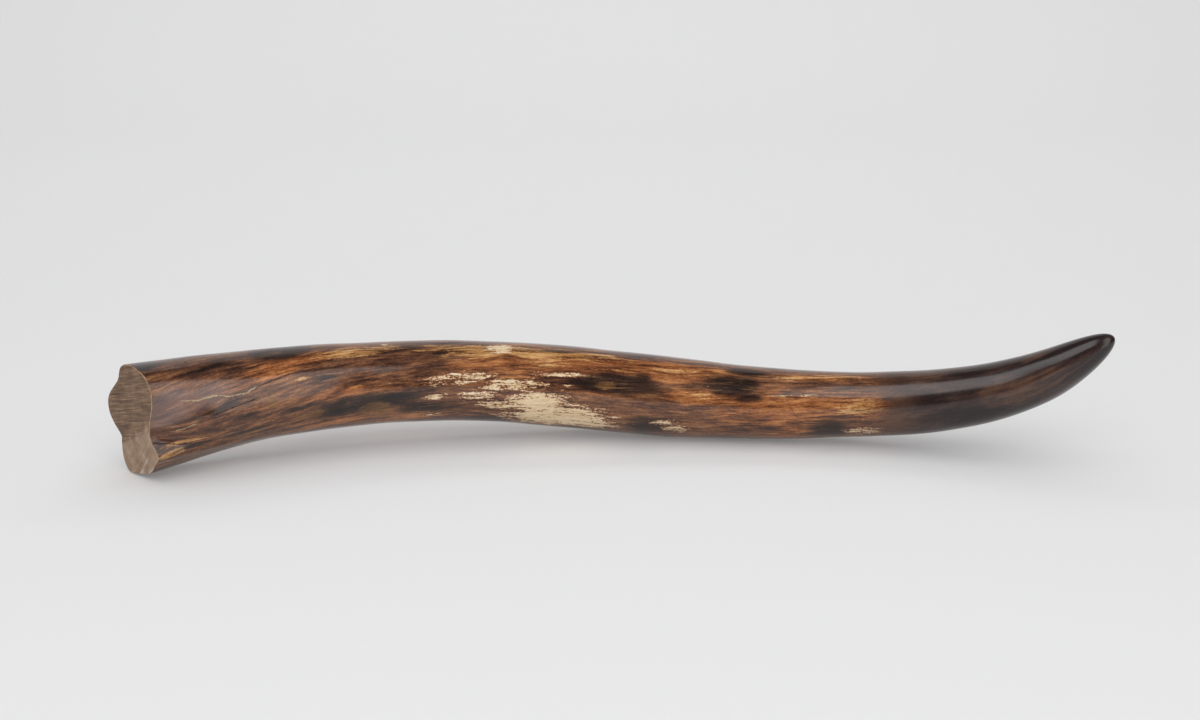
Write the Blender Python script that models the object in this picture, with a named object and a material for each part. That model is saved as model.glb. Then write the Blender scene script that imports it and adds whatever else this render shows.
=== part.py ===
"""A polished mammoth tusk, sawn off at the root and worn blunt at the tip, lying as it rests on the floor.

The tusk grew as one piece, so it is one solid. A section is swept along its bowed centre line: lobed at the
sawn root, where the flutes of the growing end run out, a plain oval from there on, and closed round at the
tip. The object is in metres, +Z is up, and the origin is the middle of the underside of the tusk's box.
"""

import math

import bmesh
import bpy
import numpy as np
from mathutils import Vector

MM = 0.001

# The centre line from root to tip: x, y and z of each station, and half the tusk's height there, in
# millimetres. The second station is at the sawn root. The first lies beyond it, so that the saw cuts through a
# whole section.
STATIONS_MM = (
    (-460, -158.0, 50.0, 52.0),
    (-408, -120.0, 53.2, 48.5),
    (-351, -82.0, 56.4, 43.5),
    (-275, -43.0, 59.0, 39.7),
    (-194, -17.0, 58.6, 37.8),
    (-110, -2.0, 54.8, 37.4),
    (-28, 3.5, 48.0, 38.0),
    (56, 1.0, 39.4, 37.4),
    (140, -7.0, 36.0, 33.9),
    (222, -20.0, 37.6, 30.5),
    (303, -38.0, 46.2, 28.8),
    (355, -52.0, 59.5, 26.8),
    (406, -67.0, 81.8, 22.4),
    (458, -84.0, 120.0, 19.5),
)
TIP_ROUNDING = 80 * MM  # the length over which the tip closes
FULLNESS = 0.12  # how much further the sides stand out than the top and the underside, as a share
FULLNESS_LEAN = math.radians(13)  # the near side is fullest above the middle, the far side below it

# The sawn face is upright and turned a little towards the viewer.
CUT_CENTRE = Vector((-412.7, -122.2, 52.8)) * MM
CUT_YAW = math.radians(40)
# The last bite of the saw ran back into the tusk. It starts lower on the far side.
LAST_BITE_DROP = 13 * MM
LAST_BITE_SLANT = math.radians(24)
LAST_BITE_TILT = math.radians(8)

# The lobed outline of the sawn root: the angle round the tusk in degrees, where 0 is towards the viewer and 90
# is up, and the distance out from the centre line in millimetres.
ROOT_OUTLINE_MM = (
    (0, 27.0),
    (15, 30.0),
    (32, 39.6),
    (44, 47.0),
    (56, 51.4),
    (76, 52.3),
    (96, 52.0),
    (107, 51.4),
    (114, 48.8),
    (121, 43.8),
    (132, 41.3),
    (147, 42.6),
    (165, 45.8),
    (180, 43.0),
    (196, 35.5),
    (211, 30.0),
    (223, 31.0),
    (235, 43.5),
    (247, 54.0),
    (264, 50.4),
    (288, 48.0),
    (312, 43.4),
    (324, 41.5),
    (334, 31.0),
    (345, 26.5),
)
FLUTE_FADE = 120 * MM
NEAR_FLUTE_FADE = 36 * MM  # the flute towards the viewer fades sooner than the others
FLUTE_FADE_POWER = 1.5
FLUTE_TWIST = math.radians(45)  # in a metre of length, because a tusk grows in a slow spiral

# Long low swells of the skin: height in millimetres, waves in a metre, waves round the tusk, and phase in
# degrees.
SWELLS_MM = (
    (0.35, 5.0, 1, 40),
    (0.20, 9.0, 2, 200),
    (0.08, 17.0, 3, 90),
)

SIDES = 44
BODY_RINGS = 84
TIP_RINGS = 16
SHARP_EDGE = math.radians(40)

SKIN_COLOUR = (0.115, 0.052, 0.024, 1.0)
SKIN_ROUGHNESS = 0.22


def clear_scene():
    for obj in list(bpy.data.objects):
        bpy.data.objects.remove(obj, do_unlink=True)


def smooth_curve(places, values):
    """A function of place: the natural cubic spline through the values at their places."""
    steps = np.diff(places)
    slopes = np.diff(values) / steps
    system = np.eye(len(places))
    pulls = np.zeros(len(places))
    for i in range(1, len(places) - 1):
        system[i, i - 1 : i + 2] = steps[i - 1], 2 * (steps[i - 1] + steps[i]), steps[i]
        pulls[i] = 6 * (slopes[i] - slopes[i - 1])
    bends = np.linalg.solve(system, pulls)

    def value_at(place):
        i = min(max(int(np.searchsorted(places, place)) - 1, 0), len(steps) - 1)
        step = steps[i]
        past, left = place - places[i], places[i + 1] - place
        bowed = (bends[i] * left**3 + bends[i + 1] * past**3) / (6 * step)
        start = values[i] / step - bends[i] * step / 6
        end = values[i + 1] / step - bends[i + 1] * step / 6
        return float(bowed + start * left + end * past)

    return value_at


def station_lengths():
    """The distance of each station along the centre line."""
    lengths = [0.0]
    for a, b in zip(STATIONS_MM, STATIONS_MM[1:]):
        lengths.append(lengths[-1] + (Vector(b[:3]) - Vector(a[:3])).length * MM)
    return lengths


LENGTHS = station_lengths()
CUT_LENGTH = LENGTHS[1]
TUSK_LENGTH = LENGTHS[-1]
CENTRE_X, CENTRE_Y, CENTRE_Z, THICKNESS = (
    smooth_curve(LENGTHS, np.array(column) * MM) for column in zip(*STATIONS_MM)
)
# The outline's points are taken round twice more, so that the curve through them closes smoothly.
ROOT_POINTS = [(at + turn, radius * MM) for turn in (-360, 0, 360) for at, radius in ROOT_OUTLINE_MM]
ROOT_RADIUS = smooth_curve(*zip(*ROOT_POINTS))


def centre(length):
    return Vector((CENTRE_X(length), CENTRE_Y(length), CENTRE_Z(length)))


def section_axes(length):
    """The section's own directions: level towards the viewer, and up across the tusk."""
    step = 2 * MM
    along = centre(min(length + step, TUSK_LENGTH)) - centre(max(length - step, 0.0))
    near = along.cross(Vector((0, 0, 1))).normalized()
    return near, near.cross(along).normalized()


def lobed_share(length, angle):
    """How much of the root's lobed outline is left: 1 at the cut, 0 where the section is a plain oval."""
    towards_viewer = (0.5 + 0.5 * math.cos(angle)) ** 2
    fade = FLUTE_FADE + (NEAR_FLUTE_FADE - FLUTE_FADE) * towards_viewer
    return math.exp(-((max(length - CUT_LENGTH, 0.0) / fade) ** FLUTE_FADE_POWER))


def tip_closing(length):
    """1 along the tusk, falling to 0 at the tip as an ellipse does."""
    from_tip = min((TUSK_LENGTH - length) / TIP_ROUNDING, 1.0)
    return math.sqrt(max(1 - (1 - from_tip) ** 2, 0.0))


def oval_radius(length, angle):
    """The plain oval section: half the thickness, and more towards the fuller sides."""
    return THICKNESS(length) * (1 + FULLNESS * math.cos(angle - FULLNESS_LEAN) ** 2)


def skin_radius(length, angle):
    """The distance from the centre line out to the skin."""
    radius = oval_radius(length, angle)
    spiral = math.degrees(angle + FLUTE_TWIST * (length - CUT_LENGTH)) % 360
    radius += lobed_share(length, angle) * (ROOT_RADIUS(spiral) - oval_radius(CUT_LENGTH, angle))
    for height, waves, around, phase in SWELLS_MM:
        radius += height * MM * math.sin(math.tau * waves * length + around * angle + math.radians(phase))
    return radius * tip_closing(length)


def ring_lengths():
    """Where the rings go: evenly along the body, then closer and closer together as the tip rounds off."""
    body = TUSK_LENGTH - TIP_ROUNDING
    along_body = [body * k / BODY_RINGS for k in range(BODY_RINGS)]
    quarter_turn = math.pi / 2
    round_tip = [body + TIP_ROUNDING * math.sin(quarter_turn * k / TIP_RINGS) for k in range(TIP_RINGS + 1)]
    return along_body + round_tip


def add_ring(bm, length, filled):
    """A ring of edges whose flats touch the skin at a length."""
    verts = bmesh.ops.create_circle(bm, segments=SIDES, radius=1.0, cap_ends=filled)["verts"]
    middle = centre(length)
    near, up = section_axes(length)
    for k, vert in enumerate(verts):
        angle = math.tau * k / SIDES
        corner = skin_radius(length, angle) / math.cos(math.pi / SIDES)
        vert.co = middle + corner * (math.cos(angle) * near + math.sin(angle) * up)
    return [bm.edges.get((verts[k - 1], verts[k])) for k in range(SIDES)]


def sweep_skin():
    """The whole skin, closed, from beyond the cut to the tip."""
    bm = bmesh.new()
    lengths = ring_lengths()
    rings = [add_ring(bm, length, filled=length == lengths[0]) for length in lengths]
    for ring, following in zip(rings, rings[1:]):
        bmesh.ops.bridge_loops(bm, edges=ring + following)
    tip = {vert for edge in rings[-1] for vert in edge.verts}
    bmesh.ops.pointmerge(bm, verts=list(tip), merge_co=centre(TUSK_LENGTH))
    bmesh.ops.recalc_face_normals(bm, faces=bm.faces)
    return bm


def saw(bm, point, outward):
    """Takes off what lies beyond a plane, and closes the cut with one flat face."""
    everything = bm.verts[:] + bm.edges[:] + bm.faces[:]
    cut = bmesh.ops.bisect_plane(bm, geom=everything, plane_co=point, plane_no=outward, clear_outer=True)
    rim = [edge for edge in cut["geom_cut"] if isinstance(edge, bmesh.types.BMEdge)]
    bmesh.ops.contextual_create(bm, geom=rim)


def saw_root(bm):
    """The flat sawn face, and below it the last bite."""
    outward = Vector((-math.cos(CUT_YAW), -math.sin(CUT_YAW), 0))
    saw(bm, CUT_CENTRE, outward)
    level = Vector((math.sin(CUT_YAW), -math.cos(CUT_YAW), 0))
    across = level * math.cos(LAST_BITE_SLANT) + Vector((0, 0, math.sin(LAST_BITE_SLANT)))
    down = across.cross(outward)
    bite = outward * math.cos(LAST_BITE_TILT) + down * math.sin(LAST_BITE_TILT)
    saw(bm, CUT_CENTRE + down * LAST_BITE_DROP, bite)


def move_to_origin(bm):
    """Brings the middle of the underside of the tusk's box to the origin."""
    low = Vector([min(vert.co[axis] for vert in bm.verts) for axis in range(3)])
    high = Vector([max(vert.co[axis] for vert in bm.verts) for axis in range(3)])
    middle = (low + high) / 2
    bmesh.ops.translate(bm, verts=bm.verts, vec=(-middle.x, -middle.y, -low.z))


def skin_material():
    material = bpy.data.materials.new("polished_skin")
    material.use_nodes = True
    shader = material.node_tree.nodes["Principled BSDF"]
    shader.inputs["Base Color"].default_value = SKIN_COLOUR
    shader.inputs["Roughness"].default_value = SKIN_ROUGHNESS
    shader.inputs["Metallic"].default_value = 0.0
    return material


def build_tusk():
    bm = sweep_skin()
    saw_root(bm)
    move_to_origin(bm)
    mesh = bpy.data.meshes.new("tusk")
    bm.to_mesh(mesh)
    bm.free()
    mesh.shade_smooth()
    mesh.set_sharp_from_angle(angle=SHARP_EDGE)
    mesh.materials.append(skin_material())
    collection = bpy.data.collections.new("mammoth_tusk")
    bpy.context.scene.collection.children.link(collection)
    collection.objects.link(bpy.data.objects.new("tusk", mesh))


clear_scene()
build_tusk()
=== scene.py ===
"""The looks of a polished mammoth tusk: its stained skin, its sawn root, and the studio that it lies in.

The skin is one closed mesh on the same centre line, sections and cuts as the solid, only finer. It carries
the stains as fields of numbers, laid out one by one on the side that the viewer sees and strewn on the far
side. The material turns the fields into ragged, streaky colours.

Angles round the tusk start at the side towards the viewer and go up over the top. Stains and cracks are
placed by their distance along the tusk from the saw cut. The shape's own lengths start at the first station.
"""

import math

import bmesh
import bpy
import numpy as np
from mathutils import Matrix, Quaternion, Vector


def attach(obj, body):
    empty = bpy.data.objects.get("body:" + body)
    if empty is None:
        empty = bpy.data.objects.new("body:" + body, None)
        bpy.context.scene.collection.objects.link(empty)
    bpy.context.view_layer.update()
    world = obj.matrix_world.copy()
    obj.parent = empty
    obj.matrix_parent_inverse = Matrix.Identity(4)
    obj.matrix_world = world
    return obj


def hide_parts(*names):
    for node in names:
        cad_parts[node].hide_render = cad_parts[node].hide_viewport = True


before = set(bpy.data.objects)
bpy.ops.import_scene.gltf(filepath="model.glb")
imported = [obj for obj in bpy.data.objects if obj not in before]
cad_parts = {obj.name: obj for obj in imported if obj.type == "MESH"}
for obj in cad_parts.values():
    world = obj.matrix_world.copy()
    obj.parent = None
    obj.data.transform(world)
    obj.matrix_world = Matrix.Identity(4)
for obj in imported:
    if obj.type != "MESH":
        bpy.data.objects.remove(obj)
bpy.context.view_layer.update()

MM = 0.001
QUARTER_TURN = math.pi / 2

# The centre line from root to tip: x, y and z of each station, and half the tusk's height there, in
# millimetres. They and the shapes below are the solid's own.
STATIONS_MM = (
    (-460, -158.0, 50.0, 52.0),
    (-408, -120.0, 53.2, 48.5),
    (-351, -82.0, 56.4, 43.5),
    (-275, -43.0, 59.0, 39.7),
    (-194, -17.0, 58.6, 37.8),
    (-110, -2.0, 54.8, 37.4),
    (-28, 3.5, 48.0, 38.0),
    (56, 1.0, 39.4, 37.4),
    (140, -7.0, 36.0, 33.9),
    (222, -20.0, 37.6, 30.5),
    (303, -38.0, 46.2, 28.8),
    (355, -52.0, 59.5, 26.8),
    (406, -67.0, 81.8, 22.4),
    (458, -84.0, 120.0, 19.5),
)
# Where the part's origin lies among the stations: the middle of the underside of the tusk's box.
ORIGIN_MM = (9.085, -51.506, 0.326)
TIP_ROUNDING = 80 * MM  # the length over which the tip closes
FULLNESS = 0.12  # how much further the sides stand out than the top and the underside, as a share
FULLNESS_LEAN = math.radians(13)  # the near side is fullest above the middle, the far side below it

# The sawn face is upright and turned a little towards the viewer.
CUT_CENTRE = np.array((-412.7, -122.2, 52.8)) * MM
CUT_YAW = math.radians(40)
# The last bite of the saw ran back into the tusk. It starts lower on the far side.
LAST_BITE_DROP = 13 * MM
LAST_BITE_SLANT = math.radians(24)
LAST_BITE_TILT = math.radians(8)

# The lobed outline of the sawn root: the angle round the tusk in degrees, and the distance out from the
# centre line in millimetres.
ROOT_OUTLINE_MM = (
    (0, 27.0),
    (15, 30.0),
    (32, 39.6),
    (44, 47.0),
    (56, 51.4),
    (76, 52.3),
    (96, 52.0),
    (107, 51.4),
    (114, 48.8),
    (121, 43.8),
    (132, 41.3),
    (147, 42.6),
    (165, 45.8),
    (180, 43.0),
    (196, 35.5),
    (211, 30.0),
    (223, 31.0),
    (235, 43.5),
    (247, 54.0),
    (264, 50.4),
    (288, 48.0),
    (312, 43.4),
    (324, 41.5),
    (334, 31.0),
    (345, 26.5),
)
FLUTE_FADE = 120 * MM
NEAR_FLUTE_FADE = 36 * MM  # the flute towards the viewer fades sooner than the others
FLUTE_FADE_POWER = 1.5
FLUTE_TWIST = math.radians(45)  # in a metre of length, because a tusk grows in a slow spiral
# Long low swells of the skin: height in millimetres, waves in a metre, waves round the tusk, and phase in
# degrees.
SWELLS_MM = (
    (0.35, 5.0, 1, 40),
    (0.20, 9.0, 2, 200),
    (0.08, 17.0, 3, 90),
)

# The fine skin: cells round the tusk, and rows from the middle of the sawn face out to the tip.
AROUND = 168
FACE_ROWS = 30
RIM_ROWS = 6
BODY_ROWS = 500
TIP_ROWS = 40
WORN_RIM = 1.3 * MM  # how far the rounded rim reaches on to the face and on to the skin
STEPS_TO_CUT = 8  # enough to find where the skin meets the sawn face
MERGE_WITHIN = 0.01 * MM
SNUG = 0.9999  # a hair's breadth smaller, so that the fine skin stays within the solid's box

# The grain runs round the tusk in a spiral that eases off: the whole turn that it comes near, in degrees,
# and the length over which it eases off.
GRAIN_TURN = 80.0
GRAIN_TURN_FADE_MM = 380.0
GRAIN_RADIUS = 38 * MM  # the radius at which the grain is wrapped round the tusk

# Stains on the side that the viewer sees, and one painted shade among the dark ones. Each is: how far along
# its middle is, the angle of its middle, half its length and half its width (in millimetres and degrees),
# and how strong it is in its middle. A stain with a strength of 1 or more is solid, and of one below 0 only
# flecks show.
CREAM_STAINS = (
    (376, -8, 46, 18, 0.45),
    (395, -30, 64, 27, 0.50),
    (432, -38, 34, 17, 0.35),
    (344, -14, 34, 11, 0.25),
    (338, 68, 15, 14, 0.45),
    (233, 80, 12, 14, -0.05),
    (300, 20, 50, 15, 0.02),
    (318, -2, 30, 9, 0.10),
    (348, 13, 40, 11, 0.20),
    (394, 30, 44, 7, 0.05),
    (274, -36, 16, 7, 0.05),
    (276, -5, 18, 6, 0.10),
    (498, -20, 22, 9, -0.05),
    (511, -31, 18, 10, 0.15),
    (684, -34, 24, 16, 0.15),
    (622, 30, 40, 5, -0.25),
    (380, 16, 11, 4, 0.25),
    (405, 18, 9, 3, 0.10),
)
GOLD_STAINS = (
    (14, -37, 12, 2.8, 1.50),
    (27, -27, 22, 2.2, 1.10),
    (205, 62, 52, 13, 0.45),
    (232, 70, 26, 10, 0.30),
    (280, 68, 40, 12, 0.20),
    (328, 62, 60, 20, 0.45),
    (395, 62, 76, 15, 0.45),
    (380, 42, 50, 9, 0.10),
    (450, 44, 60, 9, 0.15),
    (505, 54, 50, 11, 0.15),
    (148, 30, 14, 8, 0.10),
    (535, 22, 44, 9, 0.05),
    (612, 60, 24, 8, 0.05),
    (658, 68, 44, 12, 0.20),
    (684, 12, 32, 26, 0.25),
    (652, -50, 10, 10, 0.20),
)
ORANGE_STAINS = (
    (140, 53, 54, 12, 0.90),
    (120, 40, 66, 10, 0.50),
    (430, 50, 130, 26, 0.85),
    (345, 44, 80, 18, 0.60),
    (535, 20, 50, 12, 0.70),
    (605, 5, 70, 32, 0.65),
    (615, -35, 30, 32, 0.45),
    (640, 20, 50, 20, 0.50),
    (684, 14, 30, 26, 0.80),
    (655, 66, 46, 12, 0.60),
    (180, 8, 44, 13, 0.40),
    (225, 4, 62, 11, 0.30),
    (175, -36, 44, 15, 0.40),
    (250, -42, 50, 13, 0.30),
    (745, 2, 30, 15, 0.40),
    (803, -2, 18, 8, 0.30),
)
DARK_STAINS_AND_SHADE = (
    (136, 80, 30, 20, 1.0),
    (8, 84, 22, 12, 0.8),
    (55, 62, 40, 6, 0.6),
    (142, -4, 26, 5, 0.4),
    (208, -9, 52, 12, 1.2),
    (262, -20, 26, 10, 0.7),
    (172, 28, 14, 4, 0.6),
    (88, -24, 26, 4, 0.7),
    (448, 27, 42, 12, 1.25),
    (474, 38, 12, 10, 0.6),
    (392, 70, 22, 4, 0.7),
    (560, 40, 26, 17, 1.0),
    (572, 68, 22, 14, 0.7),
    (578, 22, 16, 7, 0.7),
    (480, -30, 24, 22, 0.6),
    (652, -32, 22, 26, 0.7),
    (330, -48, 30, 16, 0.6),
    (330, 66, 9, 3, 0.8),
    (282, 55, 9, 3, 0.8),
    (40, 8, 50, 2, 0.5),
    (36, -32, 26, 2, 0.8),
    # Painted shade: a dark band along the underside just past the cut, where the skin faces down.
    (5, -70, 40, 12, 0.5),
)
OLIVE_STAINS = (
    (217, -17, 18, 11, 0.90),
    (152, -17, 26, 9, 0.50),
    (88, -31, 30, 8, 0.40),
    (440, 23, 13, 7, 0.60),
    (113, 9, 10, 13, 0.50),
    (205, 58, 28, 7, 0.20),
)
# The stains of each kind, by the name of their field.
NEAR_SIDE_STAINS = {
    "cream": CREAM_STAINS,
    "gold": GOLD_STAINS,
    "orange": ORANGE_STAINS,
    "dark": DARK_STAINS_AND_SHADE,
    "olive": OLIVE_STAINS,
}
# Where the polish is duller beyond the cut, with a greyish veil painted over it: a painted sheen that stands
# in for a broad reflection on the flat skin by the root.
DULL_AND_SHEEN = ((8, 22, 36, 27, 1.00), (46, 26, 48, 20, 0.70))
# How far along the dark stains of the tip are half grown, and over what length to either side they grow.
TIP_STAINS_MM = 706.0
TIP_STAINS_GROW_MM = 60.0

# Lines in the skin, each a run of places (how far along, and the angle).
PALE_CRACKS = (
    ((28, 31), (42, 27), (58, 28), (72, 23.5), (88, 23), (99, 28)),
    ((20, -9), (28, -5), (36, -1)),
    ((598, 27), (612, 28)),
    ((630, 31), (640, 31)),
)
DARK_CRACKS = (
    ((-4, 97), (16, 99), (38, 104)),
    ((100, 28), (124, 34), (150, 41)),
    ((0, -26), (24, -30), (52, -31)),
    ((612, 25), (617, 10), (623, -4)),
    ((0, -14), (30, -2), (62, 8), (96, 15)),
)
CRACKS = {"pale_crack": PALE_CRACKS, "dark_crack": DARK_CRACKS}
CRACK_REACH_MM = 5.0  # the field round a crack ends this far from it
CRACK_RISE = 1.5  # how steeply the field rises from there towards the crack, up to 1

# Stains strewn over the side that the viewer doesn't see: each kind, how many there are, and how strong the
# weakest and the strongest may be.
FAR_SIDE_SEED = 21
FAR_SIDE_KINDS = (
    ("cream", 12, -0.3, 0.3),
    ("gold", 12, 0.0, 0.4),
    ("orange", 16, 0.3, 0.9),
    ("dark", 14, 0.4, 1.0),
    ("olive", 5, 0.2, 0.6),
)
# What they are drawn from: half a stain's length and width, how much its size and then its width may vary,
# and where its middle may lie.
FAR_SIDE_HALF_LENGTH_MM = 32
FAR_SIDE_HALF_WIDTH = 11
FAR_SIDE_SIZES = (0.6, 1.5)
FAR_SIDE_WIDTHS = (0.5, 1.3)
FAR_SIDE_MIDDLES_MM = (10, 680)
FAR_SIDE_ANGLES = (112, 292)

# The noises of the skin, drawn out along the grain. Each is: the share of its pace that it keeps along the
# grain, and its scale, detail and roughness.
SKIN_NOISES = {
    "clouds": (0.50, 34, 3, 0.55),
    "bands": (0.11, 170, 4, 0.60),
    "streaks": (0.09, 460, 4, 0.65),
    "islands": (0.22, 250, 4, 0.60),
    "flecks": (0.35, 900, 3, 0.60),
    "dashes": (0.16, 1500, 2, 0.60),
    "threads": (0.05, 720, 4, 0.65),
}
SPECKS = (1300, 2, 0.60)  # a noise that isn't drawn out
GRAIN_WANDERS = (18, 2, 6 * MM)  # the scale and detail with which the grain wanders, and how widely

# The tones of the skin and of the tip: the noises that they are mixed from, each with its weight.
SKIN_TONE = {"clouds": 0.7, "bands": 0.9, "streaks": 1.35, "flecks": 0.7}
TIP_TONE = {"clouds": 2.4, "bands": 1.2, "flecks": 0.6}

# Colours go from dark to light, each with its place in the tone, and are in the usual 0 to 255.
SKIN_COLOURS = (
    (0.08, (40, 27, 23)),
    (0.30, (72, 46, 36)),
    (0.50, (102, 66, 46)),
    (0.70, (132, 87, 58)),
    (0.92, (166, 116, 78)),
)
# How the stains, a painted shade among the dark ones and a painted sheen among the top ones look, in the
# order in which they are laid on, the deep ones below the fine lines and the top
# ones above them. Each is: the field that says where it is, the noises that break up its edge, the depths at
# which it starts and is full, how much it covers, and its colours.
DEEP_STAINS = {
    "orange": (
        "orange",
        {"bands": 1.5, "streaks": 1.5, "clouds": 0.8},
        (-0.35, 0.60),
        0.85,
        ((0.20, (92, 50, 29)), (0.50, (150, 90, 51)), (0.85, (198, 134, 80))),
    ),
    "gold": (
        "gold",
        {"bands": 1.2, "streaks": 2.0, "flecks": 1.0},
        (-0.20, 0.35),
        0.80,
        ((0.20, (132, 84, 46)), (0.50, (184, 134, 80)), (0.85, (224, 182, 126))),
    ),
    "dark": (
        "dark",
        {"islands": 1.4, "streaks": 1.6, "flecks": 1.3, "specks": 1.4},
        (-0.35, 0.45),
        0.93,
        ((0.25, (20, 15, 14)), (0.75, (52, 37, 31))),
    ),
    "olive": (
        "olive",
        {"islands": 0.8, "flecks": 1.0},
        (-0.20, 0.40),
        0.65,
        ((0.25, (84, 57, 33)), (0.75, (134, 94, 55))),
    ),
}
# The halo is the tan ring round a cream stain.
CREAM_EDGE = {"islands": 1.6, "streaks": 2.2, "flecks": 2.0, "specks": 1.4}
TOP_STAINS_AND_SHEEN = {
    "halo": (
        "cream",
        CREAM_EDGE,
        (-0.30, 0.02),
        0.75,
        ((0.50, (164, 102, 58)),),
    ),
    "cream": (
        "cream",
        CREAM_EDGE,
        (-0.04, 0.10),
        1.0,
        ((0.20, (202, 170, 128)), (0.60, (224, 200, 164)), (0.90, (236, 216, 186))),
    ),
    "tip": (
        "tip",
        {"clouds": 1.0, "bands": 2.0, "streaks": 1.4},
        (-0.45, 0.50),
        1.0,
        ((0.30, (38, 28, 26)), (0.60, (58, 42, 38)), (0.90, (86, 61, 48))),
    ),
    # The greyish veil by the cut is a painted sheen, over a duller polish.
    "dull_and_sheen": (
        "dull_and_sheen",
        {"clouds": 0.8, "streaks": 0.6},
        (-0.10, 0.90),
        0.50,
        ((0.50, (128, 112, 110)),),
    ),
}
# The fine lines in the grain, in the order in which they are drawn. Each is: the noises that draw it, the
# values at which it starts and is full, how much it covers, how much more on orange stains, and its colour.
FINE_LINES = (
    ({"dashes": 1.0, "bands": -0.5}, (0.62, 0.70), 0.55, 0.0, (52, 32, 24)),
    ({"threads": 1.0, "clouds": -0.4}, (0.58, 0.66), 0.50, 0.25, (40, 26, 21)),
    ({"threads": 1.0, "bands": -0.5}, (0.42, 0.34), 0.25, 0.0, (180, 134, 92)),
)
# How the cracks look. Each is: the distances from its middle at which it is solid and gone, in millimetres,
# how much it covers, and its colour.
CRACK_LOOKS = {
    "dark_crack": ((0.05, 0.60), 0.85, (26, 19, 17)),
    "pale_crack": ((0.10, 0.70), 0.90, (176, 156, 122)),
}
CRACK_WOBBLE_MM = 3.0  # how widely the flecks make a crack wobble

# The roughness of the plain polish, what makes it rougher, and what raises or sinks the skin.
POLISH = 0.11
ROUGHER = {"bands": 0.08, "cream": 0.05, "tip": 0.05, "dark_crack": 0.30, "dull_and_sheen": 0.12}
RAISED = {"streaks": 0.25, "clouds": 1.2, "dark_crack": -1.2, "pale_crack": -0.5}
BUMP_DISTANCE = 0.2 * MM
BUMP_STRENGTH = 0.6
IVORY_IOR = 1.5

# The noises of the sawn face. Each is: the turn of the marks that it runs along, in degrees, the share of
# its pace that it keeps along them, and its scale, detail and roughness.
SAWN_NOISES = {
    "marks": (-15, 0.04, 760, 3, 0.7),
    "wide_marks": (-15, 0.07, 300, 3, 0.6),
    "patches": (-15, 1.0, 60, 3, 0.6),
    "grit": (-15, 1.0, 1400, 2, 0.6),
    "rubs": (-45, 0.16, 240, 3, 0.6),
}
FLATTENED = (1, 1, 0)  # leaves out how far past the bite's edge a place is
# The flat face and the last bite below it: their tone, their colours and what raises them, as for the skin.
FACE_TONE = {"marks": 1.5, "wide_marks": 1.0, "patches": 0.8, "grit": 0.4}
FACE_COLOURS = ((0.15, (74, 52, 38)), (0.50, (120, 91, 68)), (0.85, (160, 130, 100)))
FACE_RAISED = {"marks": 1.0, "wide_marks": 0.8}
FACE_ROUGHNESS = 0.62
BITE_TONE = {"rubs": 0.5, "patches": 1.0, "grit": 0.8}
# The bite's colours are paler than the face's: partly its own colour and partly painted light, for the lower
# facet that gets light thrown up from the floor.
BITE_COLOURS = ((0.15, (122, 94, 75)), (0.50, (158, 130, 107)), (0.85, (190, 168, 145)))
BITE_RAISED = {"rubs": 0.8}
# Where the bite's looks start: how far their edge wanders, and how soft it is.
BITE_EDGE_WANDERS = 20 * MM
BITE_EDGE_SOFTNESS = 3 * MM
# The line where the two cuts meet: the distances at which it is solid and gone, how much it covers, and its
# colour.
CUT_LINE_WIDTHS = (0.2 * MM, 1.0 * MM)
CUT_LINE_COVER = 0.3
CUT_LINE_COLOUR = (84, 62, 48)
# What the grit and the cut line add to the height.
GRIT_HEIGHT = 0.3
CUT_LINE_HEIGHT = -0.6
# Where the saw rubbed the bite smooth, and where the bite is painted paler towards the bottom: a painted
# light that stands in for light thrown up from the floor. The table gives how much more so a metre down, the
# values at which it starts and is full, how much it covers, how much it smooths, its colour and its
# roughness.
RUBBED_AND_LIT_MORE_DOWN = 8
RUBBED_AND_LIT_VALUES = (0.74, 0.92)
RUBBED_AND_LIT_COVER = 0.6
RUBBED_SMOOTHS = 0.8
RUBBED_AND_LIT_COLOUR = (222, 212, 198)
RUBBED_ROUGHNESS = 0.35

# The worn rim, from 0 at the skin to 1 at the sawn face: where the face's looks take over, where the rim's
# pale line grows and fades, and the patches in which it shows, from faint to strong.
FACE_TAKES_OVER = (0.35, 0.60)
RIM_GROWS = (0.05, 0.30)
RIM_FADES = (0.45, 0.70)
RIM_PATCHES = (110, 3, 0.6)
RIM_PATCH_VALUES = (0.38, 0.60)
RIM_FAINT_TO_STRONG = (0.1, 0.8)
RIM_COLOUR = (180, 152, 118)

# The studio, in metres: a floor that bends up into a backdrop, and light from all round, which is dimmer in
# what the polish reflects.
FLOOR_HALF_WIDTH = 7.0
FLOOR_FRONT = -6.0
BEND_START = 1.6
BEND_RADIUS = 2.0
BEND_STEPS = 16
BACKDROP_TOP = 4.0
FLOOR_COLOUR = (0.80, 0.80, 0.80, 1.0)
FLOOR_ROUGHNESS = 0.7
WORLD_COLOUR = (0.99, 0.99, 1.0, 1.0)
WORLD_STRENGTH = 0.36
WORLD_REFLECTED = 0.05
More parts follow.
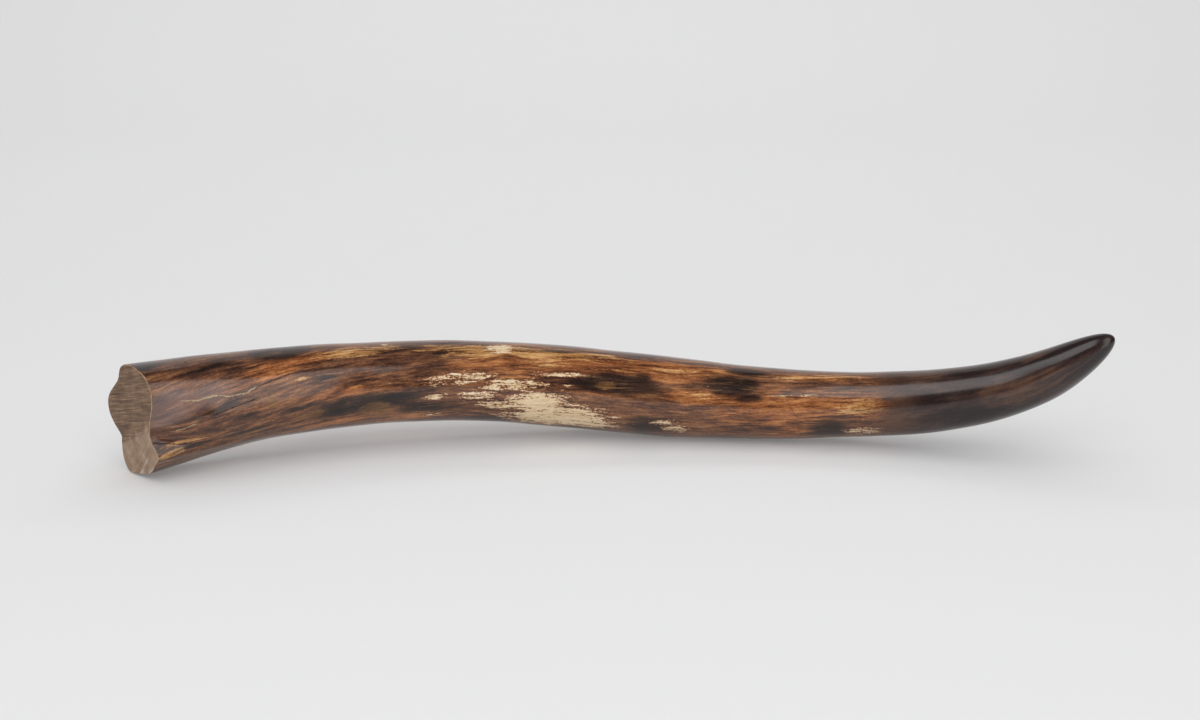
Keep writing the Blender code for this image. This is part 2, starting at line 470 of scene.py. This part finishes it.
# Light panels. Each is: its name, its place, what it faces, its width and height, its power, and its roll.
# The gleams show only in the polish. The fills light everything and don't show in the polish, and one of
# them casts no shadow.
GLEAMS = (
    ("left_gleam", (-0.68, -0.98, 2.15), (-0.68, -0.98, 0), 1.34, 2.2, 21, 0.0),
    ("right_gleam", (1.24, -1.14, 1.15), (-0.3, -0.02, 0.06), 1.0, 2.7, 15, math.radians(-10)),
)
FILLS = (
    ("top_fill", (0, -0.3, 3.0), (0, -0.3, 0), 4.0, 2.6, 21, 0.0),
    ("front_fill", (0, -3.0, 2.6), (0, 0, 0.05), 4.0, 2.6, 46, 0.0),
    ("clear_fill", (0, -3.0, 2.6), (0, 0, 0.05), 4.0, 2.6, 60, 0.0),
    ("back_fill", (0, 1.8, 2.0), (0, 1.9, 0), 4.0, 0.8, 16, 0.0),
)
SHADOWLESS = "clear_fill"
# The camera: its place in metres, how far it looks down, and its lens in millimetres.
CAMERA_PLACE = (-0.00909, -2.0359, 0.67298)
CAMERA_DOWN = math.radians(16)
CAMERA_LENS = 70


# The shape of the tusk

def smooth_curve(places, values):
    """A function of place, or of many places: the natural cubic spline through the values."""
    places, values = np.array(places, float), np.array(values, float)
    steps = np.diff(places)
    slopes = np.diff(values) / steps
    system = np.eye(len(places))
    pulls = np.zeros(len(places))
    for i in range(1, len(places) - 1):
        system[i, i - 1 : i + 2] = steps[i - 1], 2 * (steps[i - 1] + steps[i]), steps[i]
        pulls[i] = 6 * (slopes[i] - slopes[i - 1])
    bends = np.linalg.solve(system, pulls)

    def value_at(place):
        i = np.clip(np.searchsorted(places, place) - 1, 0, len(steps) - 1)
        step = steps[i]
        past, left = place - places[i], places[i + 1] - place
        bowed = (bends[i] * left**3 + bends[i + 1] * past**3) / (6 * step)
        start = values[i] / step - bends[i] * step / 6
        end = values[i + 1] / step - bends[i + 1] * step / 6
        return bowed + start * left + end * past

    return value_at


def station_lengths():
    """The distance of each station along the centre line."""
    lengths = [0.0]
    for a, b in zip(STATIONS_MM, STATIONS_MM[1:]):
        lengths.append(lengths[-1] + (Vector(b[:3]) - Vector(a[:3])).length * MM)
    return lengths


LENGTHS = station_lengths()
CUT_LENGTH = LENGTHS[1]
TUSK_LENGTH = LENGTHS[-1]
CENTRE_X, CENTRE_Y, CENTRE_Z, THICKNESS = (
    smooth_curve(LENGTHS, np.array(column) * MM) for column in zip(*STATIONS_MM)
)
ROOT_POINTS = [(at + turn, radius * MM) for turn in (-360, 0, 360) for at, radius in ROOT_OUTLINE_MM]
ROOT_RADIUS = smooth_curve(*zip(*ROOT_POINTS))


def centre(length):
    """The centre line's point at a length."""
    return np.stack((CENTRE_X(length), CENTRE_Y(length), CENTRE_Z(length)), axis=-1)


def unit(vectors):
    """The vectors, each brought to a length of 1."""
    return vectors / np.linalg.norm(vectors, axis=-1, keepdims=True)


def section_axes(length):
    """The section's own directions: level towards the viewer, and up across the tusk."""
    step = 2 * MM
    along = centre(np.minimum(length + step, TUSK_LENGTH)) - centre(np.maximum(length - step, 0.0))
    near = unit(np.cross(along, (0, 0, 1)))
    return near, unit(np.cross(near, along))


def lobed_share(length, angle):
    """How much of the root's lobed outline is left: 1 at the cut, 0 where the section is a plain oval."""
    towards_viewer = (0.5 + 0.5 * np.cos(angle)) ** 2
    fade = FLUTE_FADE + (NEAR_FLUTE_FADE - FLUTE_FADE) * towards_viewer
    return np.exp(-((np.maximum(length - CUT_LENGTH, 0.0) / fade) ** FLUTE_FADE_POWER))


def tip_closing(length):
    """1 along the tusk, falling to 0 at the tip as an ellipse does."""
    from_tip = np.minimum((TUSK_LENGTH - length) / TIP_ROUNDING, 1.0)
    return np.sqrt(np.maximum(1 - (1 - from_tip) ** 2, 0.0))


def oval_radius(length, angle):
    """The plain oval section: half the thickness, and more towards the fuller sides."""
    return THICKNESS(length) * (1 + FULLNESS * np.cos(angle - FULLNESS_LEAN) ** 2)


def skin_radius(length, angle):
    """The distance from the centre line out to the skin."""
    radius = oval_radius(length, angle)
    spiral = np.degrees(angle + FLUTE_TWIST * (length - CUT_LENGTH)) % 360
    radius = radius + lobed_share(length, angle) * (ROOT_RADIUS(spiral) - oval_radius(CUT_LENGTH, angle))
    for height, waves, around, phase in SWELLS_MM:
        swell = math.tau * waves * length + around * angle + math.radians(phase)
        radius = radius + height * MM * np.sin(swell)
    return radius * tip_closing(length)


def skin_point(length, angle):
    """The skin's point at a length and an angle."""
    near, up = section_axes(length)
    out = np.cos(angle)[..., None] * near + np.sin(angle)[..., None] * up
    return centre(length) + skin_radius(length, angle)[..., None] * out


# The sawn face

CUT_OUTWARD = np.array((-math.cos(CUT_YAW), -math.sin(CUT_YAW), 0.0))
CUT_LEVEL = np.array((math.sin(CUT_YAW), -math.cos(CUT_YAW), 0.0))
HINGE_ACROSS = CUT_LEVEL * math.cos(LAST_BITE_SLANT) + np.array((0, 0, math.sin(LAST_BITE_SLANT)))
HINGE_DOWN = np.cross(HINGE_ACROSS, CUT_OUTWARD)
BITE_OUTWARD = CUT_OUTWARD * math.cos(LAST_BITE_TILT) + HINGE_DOWN * math.sin(LAST_BITE_TILT)
BITE_POINT = CUT_CENTRE + HINGE_DOWN * LAST_BITE_DROP


def beyond_main(points):
    """How far points stand out past the main cut."""
    return (points - CUT_CENTRE) @ CUT_OUTWARD


def beyond_cut(points):
    """How far points stand out past the sawn face, with its last bite. It is negative inside the tusk."""
    past_bite = (points - BITE_POINT) @ BITE_OUTWARD / (BITE_OUTWARD @ CUT_OUTWARD)
    return np.maximum(beyond_main(points), past_bite)


def cut_length(angle):
    """Where the skin starts at an angle, found by stepping back to the cut a few times."""
    length = np.full_like(angle, CUT_LENGTH)
    for _ in range(STEPS_TO_CUT):
        length = length + beyond_cut(skin_point(length, angle))
    return length


def face_point(share, rim_inner):
    """A point of the sawn face, at a share of the way from its middle out to the rim."""
    flat = rim_inner - beyond_main(rim_inner)[..., None] * CUT_OUTWARD
    point = CUT_CENTRE + share[..., None] * (flat - CUT_CENTRE)
    return point - beyond_cut(point)[..., None] * CUT_OUTWARD


def places_on_face(points):
    """Places on the sawn face: across it, up it, and how far past the edge of the last bite."""
    off = points - CUT_CENTRE
    return np.stack((off @ CUT_LEVEL, off[..., 2], (points - BITE_POINT) @ HINGE_DOWN), axis=-1)


# The mesh

def row_places():
    """For each row: its share of the face, its share of the worn rim, and its share of the skin."""
    face = [(k / FACE_ROWS, 0.0, 0.0) for k in range(FACE_ROWS)]
    rim = [(1.0, k / RIM_ROWS, 0.0) for k in range(RIM_ROWS)]
    tip_share = TIP_ROUNDING / (TUSK_LENGTH - CUT_LENGTH)
    body = [(1.0, 1.0, (1 - tip_share) * k / BODY_ROWS) for k in range(BODY_ROWS)]
    rounded = [math.sin(QUARTER_TURN * k / TIP_ROWS) for k in range(TIP_ROWS + 1)]
    tip = [(1.0, 1.0, 1 - tip_share + tip_share * share) for share in rounded]
    return np.array(face + rim + body + tip)


def rolled_points(rows, angles):
    """Where each point of the skin goes, and its length along the tusk."""
    face_share, rim_share, skin_share = rows.T
    rim_length = cut_length(angles)
    start = rim_length + WORN_RIM
    length = start + skin_share * (TUSK_LENGTH - start)
    rim = skin_point(rim_length, angles)
    inset = WORN_RIM / np.linalg.norm(rim - CUT_CENTRE, axis=-1)
    rim_inner = rim + inset[..., None] * (CUT_CENTRE - rim)
    face_edge = face_point(np.ones_like(face_share), rim_inner)
    quarter = QUARTER_TURN * rim_share
    worn = rim + (1 - np.sin(quarter))[..., None] * (face_edge - rim)
    worn = worn + (1 - np.cos(quarter))[..., None] * (skin_point(start, angles) - rim)
    points = np.where((skin_share > 0)[..., None], skin_point(length, angles), worn)
    points = np.where((face_share < 1)[..., None], face_point(face_share, rim_inner), points)
    return points, length


def grain_angle(along, angle):
    """The angle followed back along the spiral grain to the saw cut, in degrees."""
    return angle - GRAIN_TURN * (1 - np.exp(-np.maximum(along, 0) / GRAIN_TURN_FADE_MM))


def grain_places(along, angle):
    """Places on a straight and round tusk, whose grain runs along X."""
    grain = np.radians(grain_angle(along, angle))
    return np.stack((along * MM, GRAIN_RADIUS * np.cos(grain), GRAIN_RADIUS * np.sin(grain)), axis=-1)


def stain_field(stains, along, angle):
    """How deep inside the nearest stain each point is: its strength in its middle, down to -1 outside it."""
    field = np.full_like(along, -1.0)
    grain = grain_angle(along, angle)
    for middle, middle_angle, half_length, half_width, strength in stains:
        off_along = (along - middle) / half_length
        off_round = grain - grain_angle(np.array(float(middle)), middle_angle)
        off_round = ((off_round + 180) % 360 - 180) / half_width
        field = np.maximum(field, strength - off_along**2 - off_round**2)
    return field


def crack_fields(cracks, along, angle):
    """The signed distance in millimetres to the nearest crack, and how much of a crack there is."""
    best = np.full_like(along, np.inf)
    signed = np.full_like(along, np.inf)
    girth = np.radians(1) * GRAIN_RADIUS / MM
    for crack in cracks:
        for (a_along, a_angle), (b_along, b_angle) in zip(crack, crack[1:]):
            run = np.array((b_along - a_along, (b_angle - a_angle) * girth))
            off_angle = (angle - a_angle + 180) % 360 - 180
            off = np.stack((along - a_along, off_angle * girth), axis=-1)
            share = np.clip(off @ run / (run @ run), 0, 1)
            rest = off - share[..., None] * run
            distance = np.linalg.norm(rest, axis=-1)
            side = np.sign(run[0] * off[..., 1] - run[1] * off[..., 0])
            nearer = distance < best
            signed = np.where(nearer, distance * side, signed)
            best = np.where(nearer, distance, best)
    strength = np.clip(CRACK_RISE * (1 - best / CRACK_REACH_MM), 0, 1)
    return np.clip(signed, -CRACK_REACH_MM, CRACK_REACH_MM), strength


def far_side_stains():
    """Stains strewn over the side that the viewer doesn't see, of the same kinds as on the near side."""
    rng = np.random.default_rng(FAR_SIDE_SEED)
    strewn = {}
    for kind, count, weakest, strongest in FAR_SIDE_KINDS:
        strewn[kind] = ()
        for _ in range(count):
            size = rng.uniform(*FAR_SIDE_SIZES)
            half_length = FAR_SIDE_HALF_LENGTH_MM * size
            half_width = FAR_SIDE_HALF_WIDTH * size * rng.uniform(*FAR_SIDE_WIDTHS)
            middle, angle = rng.uniform(*FAR_SIDE_MIDDLES_MM), rng.uniform(*FAR_SIDE_ANGLES)
            strewn[kind] += ((middle, angle, half_length, half_width, rng.uniform(weakest, strongest)),)
    return strewn


def tusk_fields(rows, points, along, angle):
    """Every field that the material reads, by name: numbers, and places as vectors."""
    face_share, rim_share, _ = rows.T
    fields = {
        "sawn": np.where(face_share < 1, 1.0, 1 - rim_share),
        "sawn_place": places_on_face(points),
        "grain_place": grain_places(along, angle),
        "dull_and_sheen": stain_field(DULL_AND_SHEEN, along, angle),
        "tip": np.clip((along - TIP_STAINS_MM) / TIP_STAINS_GROW_MM, -1, 1),
    }
    far_side = far_side_stains()
    for kind, near_side in NEAR_SIDE_STAINS.items():
        fields[kind] = stain_field(near_side + far_side[kind], along, angle)
    for kind, cracks in CRACKS.items():
        fields[kind], fields[kind + "_strength"] = crack_fields(cracks, along, angle)
    return fields


def store_fields(bm, fields):
    """Keeps each field on the mesh's points, under its name."""
    for name, values in fields.items():
        layers = bm.verts.layers.float if values.ndim == 1 else bm.verts.layers.float_vector
        layer = layers.new(name)
        for vert, value in zip(bm.verts, values):
            vert[layer] = value


def roll_skin():
    """The whole skin as one grid, rolled up: face, worn rim, body and tip."""
    bm = bmesh.new()
    rows = row_places()
    bmesh.ops.create_grid(bm, x_segments=AROUND, y_segments=len(rows) - 1, size=1.0)
    spots = np.array([vert.co[:2] for vert in bm.verts]) / 2 + 0.5
    angles = math.tau * spots[:, 0]
    rows = rows[np.rint(spots[:, 1] * (len(rows) - 1)).astype(int)]
    points, length = rolled_points(rows, angles)
    for vert, point in zip(bm.verts, points):
        vert.co = (point - np.array(ORIGIN_MM) * MM) * SNUG
    store_fields(bm, tusk_fields(rows, points, (length - CUT_LENGTH) / MM, np.degrees(angles)))
    bmesh.ops.remove_doubles(bm, verts=bm.verts, dist=MERGE_WITHIN)
    bmesh.ops.recalc_face_normals(bm, faces=bm.faces)
    return bm


# Materials

def paint(red, green, blue):
    """A colour from the usual 0 to 255, in the linear values that a shader takes."""
    linear = []
    for value in (red, green, blue):
        share = value / 255
        linear.append(share / 12.92 if share <= 0.04045 else ((share + 0.055) / 1.055) ** 2.4)
    return (*linear, 1.0)


class Recipe:
    """Short words for the nodes of one material. A value is a node's output or a plain one."""

    def __init__(self, name):
        self.material = bpy.data.materials.new(name)
        self.material.use_nodes = True
        self.tree = self.material.node_tree
        self.shader = self.tree.nodes["Principled BSDF"]

    def put(self, socket, value):
        """Links a value that comes from a node, and sets any other."""
        if isinstance(value, bpy.types.NodeSocket):
            self.tree.links.new(value, socket)
        else:
            socket.default_value = value

    def node(self, kind, **settings):
        made = self.tree.nodes.new(kind)
        for name, value in settings.items():
            setattr(made, name, value)
        return made

    def field(self, name, output="Fac"):
        return self.node("ShaderNodeAttribute", attribute_name=name).outputs[output]

    def stretched(self, vector, scale, turn=(0, 0, 0)):
        made = self.node("ShaderNodeMapping")
        made.inputs["Scale"].default_value = scale
        made.inputs["Rotation"].default_value = turn
        self.put(made.inputs["Vector"], vector)
        return made.outputs["Vector"]

    def noise(self, vector, scale, detail, roughness=0.5, output="Fac"):
        made = self.node("ShaderNodeTexNoise")
        self.put(made.inputs["Vector"], vector)
        made.inputs["Scale"].default_value = scale
        made.inputs["Detail"].default_value = detail
        made.inputs["Roughness"].default_value = roughness
        return made.outputs[output]

    def drawn_noise(self, vector, share, *settings):
        """A noise drawn out along X, where it keeps only a share of its pace."""
        return self.noise(self.stretched(vector, (share, 1, 1)), *settings)

    def vector_math(self, operation, first, second):
        made = self.node("ShaderNodeVectorMath", operation=operation)
        self.put(made.inputs[0], first)
        self.put(made.inputs[1], second)
        return made.outputs["Vector"]

    def wandering(self, vector, scale, detail, reach):
        """The vector pushed about by a soft noise, so that the grain wanders."""
        noise = self.noise(vector, scale, detail, output="Color")
        push = self.vector_math("SUBTRACT", noise, (0.5, 0.5, 0.5))
        return self.vector_math("ADD", vector, self.vector_math("MULTIPLY", push, (reach, reach, reach)))

    def part_of(self, vector, axis):
        """One number of a vector."""
        made = self.node("ShaderNodeSeparateXYZ")
        self.put(made.inputs["Vector"], vector)
        return made.outputs[axis]

    def sum(self, *values, operation="ADD"):
        """Numbers added up, or put through another operation one after another."""
        total = values[0]
        for value in values[1:]:
            made = self.node("ShaderNodeMath", operation=operation)
            self.put(made.inputs[0], total)
            self.put(made.inputs[1], value)
            total = made.outputs[0]
        return total

    def product(self, *values):
        return self.sum(*values, operation="MULTIPLY")

    def size_of(self, value):
        """A number without its sign."""
        made = self.node("ShaderNodeMath", operation="ABSOLUTE")
        self.put(made.inputs[0], value)
        return made.outputs[0]

    def step(self, value, low, high, start=0.0, end=1.0):
        """A soft step: start below low, end above high."""
        made = self.node("ShaderNodeMapRange", interpolation_type="SMOOTHSTEP")
        self.put(made.inputs["Value"], value)
        made.inputs["From Min"].default_value = low
        made.inputs["From Max"].default_value = high
        made.inputs["To Min"].default_value = start
        made.inputs["To Max"].default_value = end
        return made.outputs["Result"]

    def mix(self, share, below, above):
        """A mix of two colours."""
        made = self.node("ShaderNodeMix", data_type="RGBA")
        self.put(made.inputs["Factor"], share)
        self.put(made.inputs["A"], below)
        self.put(made.inputs["B"], above)
        return next(socket for socket in made.outputs if socket.type == "RGBA")

    def cover(self, below, share, amount, above):
        """A colour with another laid over it, by a share times an amount."""
        return self.mix(self.product(share, amount), below, above)

    def blend(self, share, below, above):
        """A mix of two numbers."""
        made = self.node("ShaderNodeMix", data_type="FLOAT")
        self.put(made.inputs["Factor"], share)
        self.put(made.inputs["A"], below)
        self.put(made.inputs["B"], above)
        return made.outputs["Result"]

    def ramp(self, value, stops):
        """Colours along a value, each at its place. One stop alone is an even colour."""
        if len(stops) == 1:
            return paint(*stops[0][1])
        made = self.node("ShaderNodeValToRGB")
        self.put(made.inputs["Fac"], value)
        elements = made.color_ramp.elements
        while len(elements) < len(stops):
            elements.new(0.5)
        for element, (place, colour) in zip(elements, stops):
            element.position = place
            element.color = paint(*colour)
        return made.outputs["Color"]

    def bump(self, height, distance, strength):
        made = self.node("ShaderNodeBump")
        self.put(made.inputs["Height"], height)
        made.inputs["Distance"].default_value = distance
        made.inputs["Strength"].default_value = strength
        return made.outputs["Normal"]


def mottled(recipe, noises, weights):
    """Noises added up round 0.5, each with its weight."""
    total = 0.5
    for name, weight in weights.items():
        total = recipe.sum(total, recipe.product(recipe.sum(noises[name], -0.5), weight))
    return total


def weighted(recipe, shares, weights):
    """Noises or shares added up, each with its weight."""
    return recipe.sum(*(recipe.product(shares[name], weight) for name, weight in weights.items()))


def grain_noises(recipe):
    """The noises of the skin, by name. They follow the wandering grain, and only the specks don't."""
    place = recipe.field("grain_place", "Vector")
    grain = recipe.wandering(place, *GRAIN_WANDERS)
    noises = {name: recipe.drawn_noise(grain, *settings) for name, settings in SKIN_NOISES.items()}
    noises["specks"] = recipe.noise(place, *SPECKS)
    return noises


def lay_on_stains(recipe, colour, looks, noises, tones):
    """The colour with stains laid on it one after another, and how much of each shows. The dark ones hold a
    painted shade, and the top ones a painted sheen.
    """
    shares = {}
    for kind, (field, edge, depths, amount, colours) in looks.items():
        depth = recipe.sum(recipe.field(field), mottled(recipe, noises, edge), -0.5)
        shares[kind] = recipe.step(depth, *depths)
        tone = tones.get(kind, tones["skin"])
        colour = recipe.cover(colour, shares[kind], amount, recipe.ramp(tone, colours))
    return colour, shares


def draw_fine_lines(recipe, colour, noises, orange):
    """The colour with dark dashes and dark and pale threads drawn over it."""
    for weights, values, amount, more_on_orange, line_colour in FINE_LINES:
        lines = recipe.step(mottled(recipe, noises, weights), *values)
        amount = recipe.sum(amount, recipe.product(orange, more_on_orange))
        colour = recipe.cover(colour, lines, amount, paint(*line_colour))
    return colour


def draw_cracks(recipe, colour, noises):
    """The colour with the cracks drawn over it, and how much of each kind shows."""
    wobble = recipe.product(recipe.sum(noises["flecks"], -0.5), CRACK_WOBBLE_MM)
    shares = {}
    for kind, (widths, amount, crack_colour) in CRACK_LOOKS.items():
        distance = recipe.size_of(recipe.sum(recipe.field(kind), wobble))
        line = recipe.step(distance, *widths, 1, 0)
        shares[kind] = recipe.product(line, recipe.field(kind + "_strength"))
        colour = recipe.cover(colour, shares[kind], amount, paint(*crack_colour))
    return colour, shares


def skin_looks(recipe):
    """The polished skin: its colour, its roughness and its height."""
    noises = grain_noises(recipe)
    tones = {"skin": mottled(recipe, noises, SKIN_TONE), "tip": mottled(recipe, noises, TIP_TONE)}
    colour = recipe.ramp(tones["skin"], SKIN_COLOURS)
    colour, deep = lay_on_stains(recipe, colour, DEEP_STAINS, noises, tones)
    colour = draw_fine_lines(recipe, colour, noises, deep["orange"])
    colour, top = lay_on_stains(recipe, colour, TOP_STAINS_AND_SHEEN, noises, tones)
    colour, cracks = draw_cracks(recipe, colour, noises)
    shares = {**noises, **top, **cracks}
    roughness = recipe.sum(POLISH, weighted(recipe, shares, ROUGHER))
    return colour, roughness, weighted(recipe, shares, RAISED)


def sawn_looks(recipe):
    """The sawn face: dry tan ivory under nearly level saw marks, smoother at the last bite, which is painted
    paler towards the bottom as painted light from the floor.
    """
    place = recipe.field("sawn_place", "Vector")
    noises = {}
    for name, (turn, *settings) in SAWN_NOISES.items():
        turned = recipe.stretched(place, FLATTENED, (0, 0, math.radians(turn)))
        noises[name] = recipe.drawn_noise(turned, *settings)
    past_edge = recipe.part_of(place, "Z")
    wander = recipe.product(recipe.sum(noises["patches"], -0.5), BITE_EDGE_WANDERS)
    bite = recipe.step(recipe.sum(past_edge, wander), -BITE_EDGE_SOFTNESS, BITE_EDGE_SOFTNESS)
    cut_line = recipe.step(recipe.size_of(past_edge), *CUT_LINE_WIDTHS, 1, 0)
    rubbed_and_lit = recipe.sum(noises["rubs"], recipe.product(past_edge, RUBBED_AND_LIT_MORE_DOWN))
    rubbed_and_lit = recipe.step(rubbed_and_lit, *RUBBED_AND_LIT_VALUES)

    face_colour = recipe.ramp(mottled(recipe, noises, FACE_TONE), FACE_COLOURS)
    bite_colour = recipe.ramp(mottled(recipe, noises, BITE_TONE), BITE_COLOURS)
    colour = recipe.mix(bite, face_colour, bite_colour)
    colour = recipe.cover(colour, cut_line, CUT_LINE_COVER, paint(*CUT_LINE_COLOUR))
    colour = recipe.cover(colour, rubbed_and_lit, RUBBED_AND_LIT_COVER, paint(*RUBBED_AND_LIT_COLOUR))

    roughness = recipe.blend(recipe.product(rubbed_and_lit, RUBBED_SMOOTHS), FACE_ROUGHNESS, RUBBED_ROUGHNESS)
    face_height = weighted(recipe, noises, FACE_RAISED)
    height = recipe.blend(bite, face_height, weighted(recipe, noises, BITE_RAISED))
    grit_height = recipe.product(noises["grit"], GRIT_HEIGHT)
    height = recipe.sum(height, grit_height, recipe.product(cut_line, CUT_LINE_HEIGHT))
    return colour, roughness, height


def rim_line(recipe, sawn_share):
    """How much of the worn rim's pale line shows."""
    line = recipe.product(recipe.step(sawn_share, *RIM_GROWS), recipe.step(sawn_share, *RIM_FADES, 1, 0))
    patches = recipe.noise(recipe.field("sawn_place", "Vector"), *RIM_PATCHES)
    return recipe.product(line, recipe.step(patches, *RIM_PATCH_VALUES, *RIM_FAINT_TO_STRONG))


def tusk_material():
    recipe = Recipe("polished_skin")
    skin_colour, skin_roughness, skin_height = skin_looks(recipe)
    sawn_colour, sawn_roughness, sawn_height = sawn_looks(recipe)
    sawn_share = recipe.field("sawn")
    sawn = recipe.step(sawn_share, *FACE_TAKES_OVER)
    colour = recipe.mix(sawn, skin_colour, sawn_colour)
    colour = recipe.mix(rim_line(recipe, sawn_share), colour, paint(*RIM_COLOUR))
    height = recipe.blend(sawn, skin_height, sawn_height)
    inputs = recipe.shader.inputs
    recipe.put(inputs["Base Color"], colour)
    recipe.put(inputs["Roughness"], recipe.blend(sawn, skin_roughness, sawn_roughness))
    recipe.put(inputs["Normal"], recipe.bump(height, BUMP_DISTANCE, BUMP_STRENGTH))
    inputs["IOR"].default_value = IVORY_IOR
    return recipe.material


# The pieces

def smooth_piece(name, bm, material):
    """An object at the origin, with a smooth mesh of one material."""
    mesh = bpy.data.meshes.new(name)
    bm.to_mesh(mesh)
    bm.free()
    mesh.shade_smooth()
    mesh.materials.append(material)
    piece = bpy.data.objects.new(name, mesh)
    bpy.context.scene.collection.objects.link(piece)
    return piece


def dress_tusk():
    """Puts the fine skin in the solid's place."""
    skin = smooth_piece("tusk_skin", roll_skin(), tusk_material())
    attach(skin, "root")
    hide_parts("tusk")


# The studio

def floor_material():
    recipe = Recipe("pale_floor")
    recipe.shader.inputs["Base Color"].default_value = FLOOR_COLOUR
    recipe.shader.inputs["Roughness"].default_value = FLOOR_ROUGHNESS
    recipe.shader.inputs["Specular IOR Level"].default_value = 0.0
    return recipe.material


def pull_out(bm, edges, offset):
    """Pulls a row of edges out into new faces, and gives back the row's new edges."""
    made = bmesh.ops.extrude_edge_only(bm, edges=edges)["geom"]
    verts = {item for item in made if isinstance(item, bmesh.types.BMVert)}
    bmesh.ops.translate(bm, verts=list(verts), vec=offset)
    made_edges = [item for item in made if isinstance(item, bmesh.types.BMEdge)]
    return [edge for edge in made_edges if set(edge.verts) == verts]


def lay_floor():
    """A pale floor that sweeps up into a backdrop far behind the tusk."""
    bm = bmesh.new()
    corners = [bm.verts.new((side * FLOOR_HALF_WIDTH, FLOOR_FRONT, 0.0)) for side in (-1, 1)]
    edges = pull_out(bm, [bm.edges.new(corners)], (0, BEND_START - FLOOR_FRONT, 0))
    turns = [QUARTER_TURN * k / BEND_STEPS for k in range(BEND_STEPS + 1)]
    for low, high in zip(turns, turns[1:]):
        back, up = math.sin(high) - math.sin(low), math.cos(low) - math.cos(high)
        edges = pull_out(bm, edges, (0, BEND_RADIUS * back, BEND_RADIUS * up))
    pull_out(bm, edges, (0, 0, BACKDROP_TOP - BEND_RADIUS))
    bmesh.ops.recalc_face_normals(bm, faces=bm.faces)
    floor = smooth_piece("floor", bm, floor_material())


def add_panel(name, place, target, width, height, power, roll):
    """A soft light panel that faces a target, turned in its own plane by a roll."""
    light = bpy.data.lights.new(name, "AREA")
    light.shape = "RECTANGLE"
    light.size = width
    light.size_y = height
    light.energy = power
    panel = bpy.data.objects.new(name, light)
    panel.location = place
    facing = (Vector(target) - Vector(place)).to_track_quat("-Z", "Y")
    panel.rotation_euler = (facing @ Quaternion((0, 0, 1), roll)).to_euler()
    bpy.context.scene.collection.objects.link(panel)
    return panel


def light_world():
    """An even light from all round, which is dimmer for the rays that the polish reflects."""
    world = bpy.data.worlds.new("studio")
    world.use_nodes = True
    tree = world.node_tree
    background = tree.nodes["Background"]
    path = tree.nodes.new("ShaderNodeLightPath")
    strength = tree.nodes.new("ShaderNodeMapRange")
    tree.links.new(path.outputs["Is Glossy Ray"], strength.inputs["Value"])
    strength.inputs["To Min"].default_value = WORLD_STRENGTH
    strength.inputs["To Max"].default_value = WORLD_REFLECTED
    tree.links.new(strength.outputs["Result"], background.inputs["Strength"])
    background.inputs["Color"].default_value = WORLD_COLOUR
    bpy.context.scene.world = world


def light_studio():
    """The light from all round, the gleams and the fills."""
    light_world()
    for panel in GLEAMS:
        add_panel(*panel).visible_diffuse = False
    for panel in FILLS:
        fill = add_panel(*panel)
        fill.visible_glossy = False
        fill.data.use_shadow = fill.name != SHADOWLESS
    bpy.context.scene.view_settings.view_transform = "Standard"


def aim_camera():
    camera = bpy.data.objects.new("camera", bpy.data.cameras.new("camera"))
    camera.data.lens = CAMERA_LENS
    camera.location = CAMERA_PLACE
    camera.rotation_euler = (QUARTER_TURN - CAMERA_DOWN, 0, 0)
    bpy.context.scene.collection.objects.link(camera)
    bpy.context.scene.camera = camera


aim_camera()
lay_floor()
light_studio()
dress_tusk()
